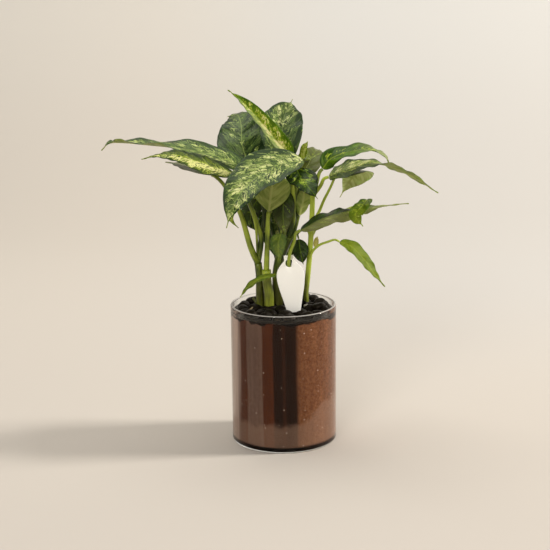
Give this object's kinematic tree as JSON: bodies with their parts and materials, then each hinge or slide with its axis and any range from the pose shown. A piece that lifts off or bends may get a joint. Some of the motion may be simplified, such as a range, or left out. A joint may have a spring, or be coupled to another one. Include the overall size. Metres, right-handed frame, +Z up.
{
  "type": "potted dieffenbachia",
  "caption": "Potted dieffenbachia: variegated waved leaves on long stalks rising from short canes in a straight clear glass cylinder of soil topped with dark pebbles, with a blank hanging tag.",
  "frame": {"origin": "centre of the underside of the glass pot, on the surface it stands on", "axes": "+Z up, -Y towards the viewer of the front, +X to the viewer's right, where the longest leaves on the right point"},
  "size_m": [0.3677, 0.2049, 0.4044],
  "materials": {
    "glass": "clear, polished glass with a fire-rounded rim",
    "soil": "moist red-brown potting soil with white perlite specks",
    "pebble": "black river pebbles, half matt",
    "pale_stone": "pale matt stone",
    "straw": "dry, pale straw",
    "sheath": "dried yellowish leaf sheath",
    "tag_card": "cream card, blank, cut edge",
    "stalk": "smooth yellow-green stalks, darker and woodier on the canes",
    "leaf_dark": "dark green leaf with a soft sheen",
    "leaf_mottled": "dark green leaf with a cream and lime mottled centre",
    "leaf_plain": "plain bright green leaf",
    "leaf_olive": "leaf that shows its paler olive underside"
  },
  "bodies": {
    "root": {"glass_pot": "glass", "soil": "soil", "pebbles": "pebble", "pale_stone": "pale_stone", "dry_stem": "straw", "dry_sheath": "sheath", "tag": "tag_card", "shoot_left": "stalk", "shoot_front": "stalk", "shoot_centre": "stalk", "shoot_tagged": "stalk", "shoot_right": "stalk", "leaf_young": "leaf_mottled", "leaf_back_left": "leaf_mottled", "leaf_back_right": "leaf_mottled", "leaf_left_wavy": "leaf_olive", "leaf_left_cream": "leaf_mottled", "leaf_left_under": "leaf_dark", "leaf_front": "leaf_mottled", "leaf_front_dark": "leaf_dark", "leaf_behind_right": "leaf_dark", "leaf_rolled_tip": "leaf_plain", "leaf_right_arched": "leaf_dark", "leaf_right_long": "leaf_olive", "leaf_right_drooping": "leaf_olive", "leaf_right_low": "leaf_olive", "leaf_right_crossing": "leaf_plain", "leaf_right_plain": "leaf_plain", "leaf_centre_under": "leaf_olive", "leaf_centre_dark": "leaf_dark", "leaf_centre_small": "leaf_plain", "leaf_beside_tag": "leaf_dark", "leaf_low_narrow": "leaf_plain", "leaf_shade_left": "leaf_dark", "leaf_pale_tip": "leaf_plain", "leaf_centre_pale": "leaf_plain", "leaf_shade_right": "leaf_dark", "leaf_rear_left": "leaf_dark", "leaf_rear_right": "leaf_dark", "leaf_back_shade": "leaf_dark"}
  },
  "joints": []
}
